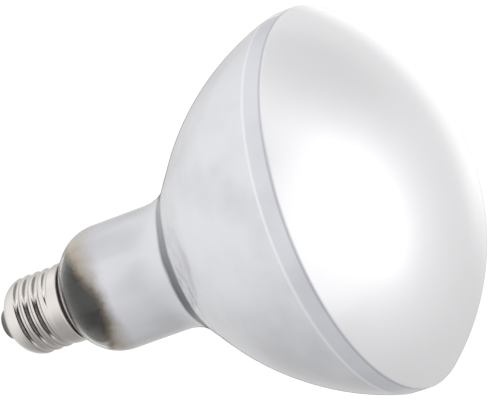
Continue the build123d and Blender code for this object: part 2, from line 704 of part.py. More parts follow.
def build():
    """Every piece by name."""
    shell = screw_shell()
    glass = glass_envelope()
    lead_centre = centre_lead(LEAD_RADIUS)
    lead_side = side_lead(SIDE_LEAD_RADIUS)
    hooks = filament_hooks()
    post, second_post = frame_post(), filament_post()
    channels = [centre_lead(LEAD_RADIUS + CLEARANCE), side_lead(SIDE_LEAD_RADIUS + CLEARANCE)]
    upper = arc_seals(1)[0]
    lower, probe = arc_seals(-1)
    return {
        "screw_shell": shell,
        "glass_insulator": insulator(),
        "centre_contact": centre_contact(),
        "centre_solder": centre_solder(),
        "side_solder": side_solder(shell, envelope_body(-CLEARANCE, NECK_END_Z), lead_side),
        "basing_cement": basing_cement(),
        "glass_envelope": glass,
        "glass_stem": glass_stem(channels),
        "lead_wire_centre": lead_centre,
        "lead_wire_side": lead_side,
        "frame_post": post,
        "filament_post": second_post,
        "filament_return": filament_return(),
        "ballast_filament": ballast_filament(),
        "filament_hooks": Compound(children=hooks),
        "hook_bead": hook_bead(hooks),
        "bead_wire": bead_wire(HOOK_RADIUS),
        "heat_shield": heat_shield([post, second_post]),
        "shield_springs": Compound(children=shield_springs()),
        "arc_tube": arc_tube(),
        "electrode_upper": electrode(*upper, 1),
        "electrode_lower": electrode(*lower, -1),
        "starting_probe": inner_rod(*probe, -1, PROBE_REACH, PROBE_RADIUS),
        "foil_upper": foil(*upper),
        "foil_lower": foil(*lower),
        "foil_probe": foil(*probe),
        "outer_lead_upper": outer_rod(*upper, 1, OUTER_LEAD_RADIUS),
        "outer_lead_lower": outer_rod(*lower, -1, OUTER_LEAD_RADIUS),
        "outer_lead_probe": outer_rod(*probe, -1, OUTER_LEAD_RADIUS),
        "strap_upper": strap(ARC_TUBE_TOP_Z + STRAP_SET_BACK + STRAP_HEIGHT / 2),
        "strap_lower": strap(ARC_TUBE_BOTTOM_Z - STRAP_SET_BACK - STRAP_HEIGHT / 2),
        "starting_resistor": starting_resistor(),
        "getter": getter(),
    }


os.makedirs("parts", exist_ok=True)
for name, piece in build().items():
    export_step(piece, f"parts/{name}.step")
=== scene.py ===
"""Looks of a silvered reflector lamp: rolled thread, coated glass, wound filament and a studio."""

import math

import bpy
from mathutils import Matrix, Vector, noise


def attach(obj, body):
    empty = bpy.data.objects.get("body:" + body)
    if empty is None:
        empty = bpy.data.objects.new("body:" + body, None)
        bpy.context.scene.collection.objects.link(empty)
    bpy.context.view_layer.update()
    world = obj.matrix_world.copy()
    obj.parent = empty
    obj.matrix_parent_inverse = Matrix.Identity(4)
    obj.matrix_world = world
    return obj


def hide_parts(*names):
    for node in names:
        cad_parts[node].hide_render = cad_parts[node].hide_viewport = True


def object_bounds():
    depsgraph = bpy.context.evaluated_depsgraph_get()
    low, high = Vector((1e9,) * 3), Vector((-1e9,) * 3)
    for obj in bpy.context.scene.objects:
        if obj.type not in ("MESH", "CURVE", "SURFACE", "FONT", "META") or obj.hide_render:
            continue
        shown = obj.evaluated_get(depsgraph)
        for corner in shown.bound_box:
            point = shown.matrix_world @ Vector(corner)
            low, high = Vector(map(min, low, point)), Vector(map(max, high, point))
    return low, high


bl_info = {
    "name": "Reflector lamp",
    "version": (1, 0, 0),
    "blender": (4, 5, 0),
    "location": "View3D > Sidebar > Lamp",
    "description": "Builds the looks of a silvered reflector lamp over its fixed frame",
    "category": "Object",
}

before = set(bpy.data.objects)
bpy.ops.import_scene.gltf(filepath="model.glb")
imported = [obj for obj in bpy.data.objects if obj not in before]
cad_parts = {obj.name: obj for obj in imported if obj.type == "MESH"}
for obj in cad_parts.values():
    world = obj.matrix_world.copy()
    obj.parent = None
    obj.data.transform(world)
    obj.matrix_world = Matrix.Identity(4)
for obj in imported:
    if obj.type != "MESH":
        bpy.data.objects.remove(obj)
CAD_BOX = [list(corner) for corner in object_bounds()]
MM = 0.001
PICTURE_WIDTH, PICTURE_HEIGHT = 500, 405


def mm(value):
    """Millimetres to metres."""
    return value * MM


# Sizes and colours that a user would change


def length(name, description, default):
    """Length property, with its default in millimetres."""
    return bpy.props.FloatProperty(
        name=name,
        description=description,
        default=mm(default),
        unit="LENGTH",
        subtype="DISTANCE",
        precision=5,
    )


def angle(name, description, default):
    """Angle property, with its default in degrees."""
    return bpy.props.FloatProperty(
        name=name, description=description, default=math.radians(default), unit="ROTATION", subtype="ANGLE"
    )


def colour(name, description, default):
    """Colour property."""
    return bpy.props.FloatVectorProperty(
        name=name, description=description, default=default, subtype="COLOR", size=3, min=0, max=1
    )


def pixels(name, description, default):
    """Distance property in pixels of the picture."""
    return bpy.props.FloatProperty(name=name, description=description, default=default, subtype="PIXEL")


def share(name, description, default):
    """Strength property that isn't negative."""
    return bpy.props.FloatProperty(name=name, description=description, default=default, min=0)


def count(name, description, default):
    """Whole number property of at least one."""
    return bpy.props.IntProperty(name=name, description=description, default=default, min=1)


class CapSettings(bpy.types.PropertyGroup):
    """Rolled screw cap."""

    length: length("Length", "From the contact's face to the shell's open rim", 27.5)
    sheet: length("Sheet", "Thickness of the drawn shell", 0.3)
    pitch: length("Pitch", "Advance of the thread in one turn", 3.629)
    crest_radius: length("Crest radius", "Radius over the thread's crests", 13.2)
    root_radius: length("Root radius", "Radius at the bottom of the thread's grooves", 12.105)
    arc_radius: length("Thread arc", "Radius of the thread's crests and grooves", 1.025)
    groove_top: length("Top groove", "Height of the last groove at its full depth", 22.2)
    groove_top_angle: angle("Top groove angle", "Angle round the axis where it starts to fade", 180)
    groove_bottom: length("Bottom groove", "Height where the first groove reaches its full depth", 11.33)
    fade: length("Fade", "Rise of a groove while it fades out", 1.23)
    barrel_radius: length("Barrel radius", "Radius of the plain barrel by the glass", 13.3)
    rim_flare: length("Rim flare", "How far the open rim flares out", 0.35)
    rim_flare_height: length("Rim flare height", "Height of the flared rim", 0.9)
    shoulder: length("Shoulder", "Height where the rounded end starts", 11.9)
    lip: length("Lip", "Height of the shell's lip by the black glass", 4.1)
    lip_radius: length("Lip radius", "Radius of the shell's lip", 8.7)
    blend: length("Thread blend", "Rounding between the thread and the plain shell", 0.12)
    steps_round: count("Steps round", "Points of the thread's grid round the axis", 217)
    steps_up: count("Steps up", "Points of the thread's grid along the axis", 171)
    metal: colour("Metal", "Nickel plating", (0.70, 0.665, 0.635))


class GlassSettings(bpy.types.PropertyGroup):
    """Blown envelope and its coats."""

    wall: length("Wall", "Thickness of the glass", 0.9)
    total: length("Total length", "From the contact's face to the apex of the face", 168)
    end: length("Neck end", "Height of the sealed end inside the cap", 17)
    end_radius: length("Neck end radius", "Radius of the sealed end", 10.9)
    end_fillet: length("Neck end fillet", "Fillet between the sealed end and the shoulder", 2.5)
    neck_radius: length("Neck radius", "Radius of the neck", 21.05)
    shoulder_radius: length("Shoulder radius", "Rounding of the neck above the cap", 15)
    shoulder: length("Shoulder", "Height where the neck is straight", 41.6)
    bowl_start: length("Bowl start", "Height where the neck starts to flare", 62)
    bowl_fillet: length("Bowl fillet", "Radius of the flare", 19)
    bowl_angle: angle("Bowl angle", "Slope of the bowl's cone from the axis", 47)
    cone: length("Cone", "Length of the bowl's straight cone", 13)
    band_back: length("Band back", "Height of the band's back edge", 129.8)
    band_back_radius: length("Band back radius", "Radius at the band's back edge", 63.35)
    band_front: length("Band front", "Height of the rim crease", 136.5)
    face_radius: length("Face radius", "Radius of the band and the face", 63.5)
    rim_round: length("Rim rounding", "Rounding of the rim crease", 1.6)
    band_round: length("Band rounding", "Rounding of the band's back edge", 3)
    coat_edge: length("Coat edge", "Mean height where the silver coat starts", 38)
    coat_sway: length("Coat sway", "How far the coat's edge rises and falls round the neck", 6)
    coat_sway_angle: angle("Coat sway angle", "Side of the neck where the coat's edge is highest", 283)
    coat_tongues: length("Coat tongues", "How far the coat's edge strays in broad tongues", 5)
    coat_specks: length("Coat specks", "How far the coat's edge strays in fine specks", 1.2)
    # Top of the painted shade sheet by the cap
    shade_sheet_edge: length("Shading edge", "Height where the dark film by the cap ends", 31.2)
    slow_waves: length("Slow waves", "Height of the broad waves in the glass", 0.10)
    quick_waves: length("Quick waves", "Height of the fine waves where the neck flares", 0.12)
    segments: count("Segments", "Faces round the envelope", 200)
    clear: colour("Clear glass", "Uncoated glass of the neck", (0.56, 0.56, 0.52))
    silver: colour("Silver", "Inside coat seen through the glass", (0.78, 0.785, 0.825))
    # Painted shade over the band
    band: colour("Band", "Shaded coat of the band", (0.52, 0.54, 0.62))
    # Painted highlight along the band's back edge
    seam: colour("Seam", "Light line at the band's back edge", (0.95, 0.95, 0.97))
    # Painted shade in the rim crease
    crease: colour("Crease", "Dark line at the rim", (0.26, 0.27, 0.32))
    # Painted shade ring in the throat where the bowl starts
    ring: colour("Ring", "Dark ring where the bowl starts", (0.03, 0.042, 0.065))
    amber: colour("Amber", "Thin edge of the coat", (0.68, 0.54, 0.36))
    dusky: colour("Dusky", "Specks in the coat's edge on its high sides", (0.05, 0.04, 0.04))
    pale_dusky: colour("Pale soot", "Specks in the coat's edge on its low sides", (0.30, 0.25, 0.19))
    # Painted shade sheet over the glass by the cap
    collar_shade: colour("Shade", "Dark film inside the glass by the cap", (0.44, 0.38, 0.42))
    frost: colour("Frost", "Frosted face", (0.90, 0.90, 0.915))


class CoilSettings(bpy.types.PropertyGroup):
    """Coiled ballast filament."""

    ring_radius: length("Ring radius", "Radius of the ring that the coil follows", 14.5)
    coil_radius: length("Coil radius", "Radius of the coil at its wire's centre", 0.66)
    wire_radius: length("Wire radius", "Radius of the tungsten wire", 0.13)
    height: length("Height", "Height of the ring", 99)
    gap: angle("Gap", "Half of the gap in the ring", 20)
    turns: count("Turns", "Turns of the coil", 150)
    turn_steps: count("Steps in a turn", "Points of the wire in each turn", 12)
    wire_sides: count("Sides", "Faces round the wire", 6)


class StudioSettings(bpy.types.PropertyGroup):
    """Camera and light."""

    distance: length("Distance", "From the camera to the framed point", 1400)
    framed_height: length("Framed point", "Height of the framed point on the axis", 29.5)
    focal_pixels: pixels("Focal length", "In pixels of the picture", 4313.0)
    framed_x: pixels("Framed point across", "Picture column of the framed point", 83.5)
    framed_y: pixels("Framed point down", "Picture row of the framed point", 297.6)
    axis_angle: angle("Axis angle", "Between the lamp's axis and the line to the camera", 64.44)
    axis_rise: angle("Axis rise", "How steeply the lamp's axis rises to the right in the picture", 20.05)
    room: share("Room", "Light of the room's walls", 0.72)
    shadow: share("Floor side", "How much darker the room is below", 0.31)
    window: share("Window", "Light of the window in front", 0.98)
    dark: share("Dark opening", "How much of the light the opening round the camera takes", 0.97)
    key_power: share("Key light", "Watts of the soft light above", 0.5)
    key_side: length("Key light's side", "Side of the soft light above", 400)
    window_power: share("Window light", "Watts of the window that only the glass reflects", 2.3)
    window_side: length("Window light's side", "Side of the window that only the glass reflects", 800)


# Node arithmetic


class Value:
    """Socket that takes part in arithmetic. Each operator adds one Math node."""

    def __init__(self, graph, socket):
        self.graph = graph
        self.socket = socket

    def math(self, operation, *others, clamp=False):
        settings = {"operation": operation, "use_clamp": clamp}
        return self.graph.make("ShaderNodeMath", settings, dict(enumerate([self, *others])))

    def __add__(self, other):
        return self.math("ADD", other)

    def __sub__(self, other):
        return self.math("SUBTRACT", other)

    def __rsub__(self, other):
        return self.graph.make("ShaderNodeMath", {"operation": "SUBTRACT"}, {0: other, 1: self})

    def __mul__(self, other):
        return self.math("MULTIPLY", other)

    def __truediv__(self, other):
        return self.math("DIVIDE", other)

    __radd__ = __add__
    __rmul__ = __mul__

    def step(self, low, high):
        """Smooth rise from 0 at low to 1 at high."""
        risen = (self - low).math("DIVIDE", high - low, clamp=True)
        return risen * risen * (3 - 2 * risen)

    def above(self, limit):
        return self.math("GREATER_THAN", limit)

    def root(self):
        return self.math("SQRT")

    def most(self, other):
        return self.math("MAXIMUM", other)


class Graph:
    """Node tree that is filled by calls."""

    def __init__(self, tree):
        self.tree = tree

    def feed(self, socket, value):
        if isinstance(value, Value):
            self.tree.links.new(value.socket, socket)
        else:
            socket.default_value = value

    def make(self, kind, settings=None, inputs=None, output=0):
        """New node: its settings come first, then the values or links of its sockets."""
        node = self.tree.nodes.new(kind)
        for name, value in (settings or {}).items():
            setattr(node, name, value)
        for key, value in (inputs or {}).items():
            self.feed(node.inputs[key], value)
        return Value(self, node.outputs[output])

    def outputs(self, value):
        """All outputs of the node that a value comes from."""
        return [Value(self, socket) for socket in value.socket.node.outputs]

    def mix(self, factor, low, high):
        """Colour between two others."""
        low, high = [(*c, 1) if isinstance(c, tuple) and len(c) == 3 else c for c in (low, high)]
        return self.make("ShaderNodeMix", {"data_type": "RGBA"}, {0: factor, 6: low, 7: high}, output=2)


class GeometryTree(Graph):
    """Geometry tree with named inputs, which ends in real geometry of one material."""

    def __init__(self, name, sizes):
        super().__init__(bpy.data.node_groups.new(name, "GeometryNodeTree"))
        self.sizes = sizes
        self.tree.interface.new_socket("Geometry", in_out="OUTPUT", socket_type="NodeSocketGeometry")
        for title in sizes:
            self.tree.interface.new_socket(title, in_out="INPUT", socket_type="NodeSocketFloat")
        group = self.tree.nodes.new("NodeGroupInput")
        self.given = [Value(self, group.outputs[title]) for title in sizes]

    def close(self, geometry, material):
        """Ends the tree in real geometry with its material."""
        real = self.make("GeometryNodeRealizeInstances", inputs={0: geometry})
        painted = self.make("GeometryNodeSetMaterial", inputs={"Geometry": real, "Material": material})
        self.tree.links.new(painted.socket, self.tree.nodes.new("NodeGroupOutput").inputs[0])

    def put_on(self, piece):
        """Modifier with this tree, its inputs set by their identifiers."""
        modifier = piece.modifiers.new(self.tree.name, "NODES")
        modifier.node_group = self.tree
        for item in self.tree.interface.items_tree:
            if item.in_out == "INPUT":
                modifier[item.identifier] = self.sizes[item.name]


class Finish(Graph):
    """Material under construction."""

    def __init__(self, name):
        self.material = bpy.data.materials.new(name)
        self.material.use_nodes = True
        super().__init__(self.material.node_tree)
        self.tree.nodes.clear()
        self.place = self.make("ShaderNodeTexCoord", output=3)

    def noise(self, scale, detail=3.0, roughness=0.5, vector=None, seed=0.0):
        """Noise of a size, read on Object coordinates in metres."""
        inputs = {"W": seed, "Scale": scale, "Detail": detail, "Roughness": roughness}
        inputs["Vector"] = vector or self.place
        return self.make("ShaderNodeTexNoise", {"noise_dimensions": "4D"}, inputs)

    def stretched(self, x, y, z):
        """Object coordinates scaled along each axis."""
        return self.make("ShaderNodeVectorMath", {"operation": "MULTIPLY"}, {0: self.place, 1: (x, y, z)})

    def axes(self):
        """Object x, y and z in millimetres."""
        split = self.make("ShaderNodeSeparateXYZ", inputs={0: self.place})
        return [axis * (1 / MM) for axis in self.outputs(split)]

    def bump(self, height, distance, strength):
        """Normal of a fine relief."""
        inputs = {"Height": height, "Distance": distance, "Strength": strength}
        return self.make("ShaderNodeBump", inputs=inputs)

    def principled(self, **inputs):
        """Principled shader. Its sockets are named with underscores."""
        named = {key.replace("_", " "): value for key, value in inputs.items()}
        if isinstance(named.get("Base Color"), tuple):
            named["Base Color"] = (*named["Base Color"][:3], 1)
        return self.make("ShaderNodeBsdfPrincipled", inputs=named)

    def finish(self, shader):
        """Material whose surface is a shader."""
        output = self.tree.nodes.new("ShaderNodeOutputMaterial")
        self.tree.links.new(shader.socket, output.inputs["Surface"])
        return self.material


# Finishes


def toned(shade, factor):
    """Colour made darker or lighter."""
    return tuple(min(1, channel * factor) for channel in shade)


def nickel_plate(metal):
    """Bright nickel over rolled brass: soft streaks round the cap and a fine cloudiness."""
    f = Finish("nickel_plate")
    cloud = f.noise(160, detail=4)
    streak = f.noise(60, detail=5, vector=f.stretched(0.5, 0.5, 12), seed=3)
    grain = f.noise(2400, detail=2)
    shade = f.mix(cloud, toned(metal, 0.90), toned(metal, 1.07))
    rough = 0.09 + cloud * 0.07 + streak * 0.06
    return f.finish(
        f.principled(
            Base_Color=shade,
            Metallic=1.0,
            Roughness=rough,
            Normal=f.bump(streak * 0.25 + grain * 0.08, mm(0.02), 0.4),
        )
    )


def black_glass():
    """Moulded black glass with a few pits."""
    f = Finish("black_glass")
    pit = f.noise(900, detail=2)
    return f.finish(
        f.principled(
            Base_Color=f.mix(f.noise(120), (0.012, 0.012, 0.015), (0.03, 0.03, 0.034)),
            Roughness=0.10 + pit * 0.16,
            IOR=1.6,
            Normal=f.bump(pit, mm(0.03), 0.4),
        )
    )


def drawn_metal(name, shade, rough, grain=900):
    """Drawn wire or rolled sheet with a fine grain along the lamp."""
    f = Finish(name)
    line = f.noise(grain, detail=3, vector=f.stretched(1, 1, 0.15))
    return f.finish(
        f.principled(
            Base_Color=f.mix(line, toned(shade, 0.8), shade),
            Metallic=1.0,
            Roughness=rough + line * 0.14,
            Normal=f.bump(line, mm(0.02), 0.4),
        )
    )


def matt_body(name, shade, rough):
    """Cement, ceramic or solder with a fine rough surface."""
    f = Finish(name)
    patch = f.noise(700, detail=5, roughness=0.6)
    return f.finish(
        f.principled(
            Base_Color=f.mix(patch, toned(shade, 0.72), shade),
            Roughness=rough + patch * 0.2,
            Normal=f.bump(patch, mm(0.08), 0.6),
        )
    )


def clear_glass(name, tint, ior, clearness=1.0):
    """Glass with faint drawing lines, clear or a little milky."""
    f = Finish(name)
    line = f.noise(220, detail=2, vector=f.stretched(1, 1, 0.2))
    return f.finish(
        f.principled(
            Base_Color=tint,
            Roughness=0.02,
            IOR=ior,
            Transmission_Weight=clearness,
            Normal=f.bump(line, mm(0.02), 0.3),
        )
    )


def silver_coat(f, glass, x, z, cloud, relief_and_reflection_streaks):
    """Colour of the silver coat with its painted reflections and painted shade, and the cover of its
    painted shade ring. Heights are in millimetres.
    """
    back, front, flare = glass.band_back / MM, glass.band_front / MM, glass.bowl_start / MM
    # Painted reflections: light and dark streaks down the neck. Painted shade: the whole neck a quarter
    # darker. The bowl gets a faint random cloudiness.
    neck = 1 - z.step(flare - 4, flare + 10)
    shade = relief_and_reflection_streaks.step(0.36, 0.60) * neck + (cloud.step(0.35, 0.65) * 0.7 + 0.2) * (1 - neck)
    silver = f.mix(shade, toned(glass.silver, 0.78), toned(glass.silver, 1.05))
    silver = f.mix(neck * 0.25, silver, toned(glass.silver, 0.62))

    # Painted shade: a dark ring in the throat where the bowl starts, wandering a little and darkest on the
    # lamp's shaded low side, with painted dark reflections of fine wrinkles above it on that side.
    shaded_side = x.step(-22, 16)
    wander = (f.noise(60, detail=3, seed=11) - 0.5) * 4
    above_ring = z + wander - (flare + glass.bowl_fillet * 0.78 / MM)
    ring = above_ring.step(-4.4, -2.2) * (1 - above_ring.step(1.2, 3.4)) * (0.7 + shaded_side * 0.3)
    wrinkle_pattern = f.noise(240, detail=3, vector=f.stretched(1, 1, 3.0), seed=17).step(0.48, 0.68)
    wrinkle_reflections = wrinkle_pattern * above_ring.step(0.5, 4) * (1 - above_ring.step(6, 11)) * shaded_side
    # Painted shade: the band a darker, bluer copy of the silver
    band = z.step(back - 0.7, back + 0.7)
    # Painted highlight: a light line along the band's back edge
    seam = z.step(back - 0.6, back) * (1 - z.step(back + 0.3, back + 1))
    # Painted shade: a dark line in the rim crease
    crease = z.step(front - 1.1, front - 0.4)
    layers = (
        (band * 0.28, glass.band),
        (seam * 0.6, glass.seam),
        (crease * 0.5, glass.crease),
        (ring + wrinkle_reflections * 0.45, glass.ring),
    )
    for cover, tone in layers:
        silver = f.mix(cover, silver, tuple(tone))
    return silver, ring


def bare_glass(f, glass, z, tongues):
    """Uncoated end of the neck: a painted shade sheet right by the cap, an opaque dark coat standing in
    for the shaded glass there, and clear glass above it.
    """
    clear = f.principled(Base_Color=tuple(glass.clear), Roughness=0.02, IOR=1.47, Transmission_Weight=1.0)
    # Painted shade: opaque dark purple-grey over the glass by the cap, with a random mottle
    shade_sheet = f.principled(
        Base_Color=f.mix(f.noise(340, detail=3, seed=13), toned(glass.collar_shade, 0.6), tuple(glass.collar_shade)),
        Roughness=0.3,
        Coat_Weight=1.0,
        Coat_Roughness=0.04,
    )
    edge = glass.shade_sheet_edge / MM
    shade_sheet_cover = 1 - (z + tongues * 1.5).step(edge - 0.6, edge + 0.5)
    return f.make("ShaderNodeMixShader", inputs={0: shade_sheet_cover, 1: clear, 2: shade_sheet})


def envelope_finish(glass):
    """Bare glass by the cap under a painted shade sheet, amber where the coat fades in, silver with
    painted shade and reflections to the band and a frosted face.
    """
    f = Finish("envelope_glass")
    x, y, z = f.axes()
    tongues = f.noise(120, detail=4, roughness=0.6, seed=2.4) - 0.5
    specks = f.noise(620, detail=3, seed=5) - 0.5
    # Streaks along the lamp: a faint relief all over, and painted reflection streaks in the neck's colour
    relief_and_reflection_streaks = f.noise(62, detail=2, vector=f.stretched(1, 1, 0.22), seed=1)
    cloud = f.noise(30, detail=4, seed=7)

    # The coat's edge is high on two opposite sides of the neck and low between them.
    doubled = 2 * glass.coat_sway_angle
    sway = (x * x - y * y) * math.cos(doubled) + x * y * (2 * math.sin(doubled))
    sway = sway / (x * x + y * y).most(1.0)
    low = 0.5 - sway * 0.5
    strayed = tongues * (glass.coat_tongues / MM) + specks * (glass.coat_specks / MM)
    height = z - sway * (glass.coat_sway / MM) - strayed - glass.coat_edge / MM
    coated = height.step(-1.6, 3.2)
    silvered = (height / (1 + low * 1.5)).step(0.4, 6.5)
    face = z.step(glass.band_front / MM - 0.5, glass.band_front / MM + 0.4)

    silver, ring = silver_coat(f, glass, x, z, cloud, relief_and_reflection_streaks)
    # Amber where the coat thins out, darker on the edge's high sides, with darker specks through it
    brown = f.mix(low, toned(glass.amber, 0.42), tuple(glass.amber))
    dusky = f.mix(low, tuple(glass.dusky), tuple(glass.pale_dusky))
    coat = f.mix(silvered, f.mix(f.noise(300, detail=4, seed=9), dusky, brown), silver)
    frost = f.mix(cloud, toned(glass.frost, 0.97), tuple(glass.frost))
    grain = f.noise(5200, detail=2)
    # The painted shade ring also dulls the metal and the coat's gloss there.
    reflector = f.principled(
        Base_Color=f.mix(face, coat, frost),
        Metallic=silvered * (1 - ring) * 0.2 + face * 0.27,
        Roughness=0.38 + cloud * 0.08,
        Coat_Weight=1 - face * 0.6 - ring * 0.6,
        Coat_Roughness=0.04,
        Normal=f.bump(grain * face + relief_and_reflection_streaks * 0.5, mm(0.02), 0.3),
    )
    bare = bare_glass(f, glass, z, tongues)
    return f.finish(f.make("ShaderNodeMixShader", inputs={0: coated, 1: bare, 2: reflector}))


# Pieces and meshes


def paint(material, *nodes):
    """Gives CAD nodes a finish."""
    for node in nodes:
        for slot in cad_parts[node].material_slots:
            slot.material = material


def new_piece(mesh, material):
    """Object of a mesh, which gives its name, with one material."""
    piece = bpy.data.objects.new(mesh.name, mesh)
    bpy.context.scene.collection.objects.link(piece)
    mesh.materials.append(material)
    return piece


def apply_modifiers(piece):
    """Turns a piece with modifiers into a plain smooth mesh."""
    graph = bpy.context.evaluated_depsgraph_get()
    mesh = bpy.data.meshes.new_from_object(piece.evaluated_get(graph))
    mesh.polygons.foreach_set("use_smooth", [True] * len(mesh.polygons))
    piece.modifiers.clear()
    old = piece.data
    piece.data = mesh
    bpy.data.meshes.remove(old)


def lathe(name, outline, segments):
    """Mesh turned about Z from (radius, height) points, of which the last is the pole."""
    points = []
    for radius, height in outline[:-1]:
        for step in range(segments):
            turn = 2 * math.pi * step / segments
            points.append((radius * math.cos(turn), radius * math.sin(turn), height))
    last = len(points) - segments
    faces = []
    for low in range(0, last, segments):
        high = low + segments
        for step in range(segments):
            after = (step + 1) % segments
            faces.append((low + step, low + after, high + after, high + step))
    points.append((0, 0, outline[-1][1]))
    faces += [(last + step, last + (step + 1) % segments, len(points) - 1) for step in range(segments)]
    mesh = bpy.data.meshes.new(name)
    mesh.from_pydata(points, [], faces)
    return mesh


def arc(centre, radius, start, end, steps):
    """Points of an arc in the (radius, height) plane. Angles run from the outward direction."""
    return [
        (
            centre[0] + radius * math.cos(start + (end - start) * step / steps),
            centre[1] + radius * math.sin(start + (end - start) * step / steps),
        )
        for step in range(steps + 1)
    ]


def run(start, end, steps):
    """Points along a straight run, without its ends."""
    return [tuple(a + (b - a) * step / steps for a, b in zip(start, end)) for step in range(1, steps)]


def rounded(before, corner, after, radius, steps):
    """Points that round a corner between two neighbours."""
    before, corner, after = Vector(before), Vector(corner), Vector(after)
    inward, outward = (before - corner).normalized(), (after - corner).normalized()
    half = inward.angle(outward) / 2
    reach = radius / math.tan(half)
    centre = corner + (inward + outward).normalized() * (radius / math.sin(half))
    first = corner + inward * reach - centre
    last = corner + outward * reach - centre
    return [tuple(centre + first.slerp(last, step / steps) * radius) for step in range(steps + 1)]


# Cap


def thread_tree(cap, metal):
    """Geometry tree that wraps a grid round the lamp's axis and rolls the thread into it."""
    sizes = {
        "Pitch": cap.pitch,
        "Crest radius": cap.crest_radius,
        "Root radius": cap.root_radius,
        "Arc radius": cap.arc_radius,
        "Top groove": cap.groove_top,
        "Bottom groove": cap.groove_bottom,
        "Fade": cap.fade,
        "Blend": cap.blend,
    }
    g = GeometryTree("rolled_thread", {name: size / MM for name, size in sizes.items()})
    pitch, crest, root, bend, top, bottom, fade, blend = g.given
    steps = {"Vertices X": cap.steps_round, "Vertices Y": cap.steps_up}
    grid = g.make("GeometryNodeMeshGrid", inputs={"Size X": 1.0, "Size Y": 1.0, **steps})
    split = g.make("ShaderNodeSeparateXYZ", inputs={0: g.make("GeometryNodeInputPosition")})
    across, up = g.outputs(split)[:2]
    turn = (across + 0.5) * (2 * math.pi)
    z = (up + 0.5) * ((cap.length - cap.lip) / MM) + cap.lip / MM

    # Outline of the drawn shell before its thread is rolled.
    drop = (cap.shoulder - cap.lip) / MM
    inset = (cap.crest_radius - cap.lip_radius) / MM
    dome = (drop**2 + inset**2) / (2 * inset)
    below = (cap.shoulder / MM - z).most(0.0)
    barrel = z.step(cap.groove_top / MM, (cap.groove_top + cap.arc_radius) / MM)
    flare = ((z - (cap.length - cap.rim_flare_height) / MM) / (cap.rim_flare_height / MM)).most(0.0)
    shell = (
        crest
        - dome
        + (dome * dome - below * below).root()
        + barrel * ((cap.barrel_radius - cap.crest_radius) / MM)
        + flare * flare * (cap.rim_flare / MM)
    )

    # Height over the nearest groove, the groove's round section and how far it has faded out.
    helix = top + pitch * ((turn - cap.groove_top_angle) / (2 * math.pi))
    turns_up = (z - helix) / pitch
    nearest = turns_up.math("ROUND")
    away = (turns_up - nearest).math("ABSOLUTE") * pitch
    groove_height = helix + nearest * pitch
    hollow = root + bend - (bend * bend - away * away).most(0.0).root()
    beside = pitch / 2 - away
    ridge = crest - bend + (bend * bend - beside * beside).most(0.0).root()
    section = hollow + (ridge - hollow) * away.above(pitch / 4)
    gone = groove_height.step(top, top + fade) + 1 - groove_height.step(bottom - fade, bottom)
    lifted = section + gone * (crest - root + 0.25)
    radius = shell.math("SMOOTH_MIN", lifted, blend) * MM
    place = g.make(
        "ShaderNodeCombineXYZ",
        inputs={0: radius * turn.math("COSINE"), 1: radius * turn.math("SINE"), 2: z * MM},
    )
    wrapped = g.make("GeometryNodeSetPosition", inputs={"Geometry": grid, "Position": place})
    closed = g.make("GeometryNodeMergeByDistance", inputs={"Geometry": wrapped, "Distance": mm(0.01)})
    g.close(closed, metal)
    return g


class LAMP_OT_cap(bpy.types.Operator):
    """Rolls the threaded shell and finishes the black glass, the contact, the solder and the cement"""

    bl_idname = "lamp.cap"
    bl_label = "Screw cap"

    def execute(self, context):
        cap = context.scene.lamp_cap
        metal = nickel_plate(tuple(cap.metal))
        shell = new_piece(bpy.data.meshes.new("rolled_shell"), metal)
        thread_tree(cap, metal).put_on(shell)
        sheet = shell.modifiers.new("Sheet", "SOLIDIFY")
        sheet.thickness = cap.sheet
        sheet.offset = -1
        apply_modifiers(shell)
        shell.data.set_sharp_from_angle(angle=math.radians(50))
        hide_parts("screw_shell")
        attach(shell, "root")
        paint(black_glass(), "glass_insulator")
        paint(drawn_metal("contact_brass", (0.72, 0.58, 0.34), 0.24), "centre_contact")
        paint(matt_body("solder", (0.62, 0.62, 0.63), 0.30), "centre_solder", "side_solder")
        paint(matt_body("cement", (0.50, 0.43, 0.34), 0.75), "basing_cement")
        return {"FINISHED"}


# Glass


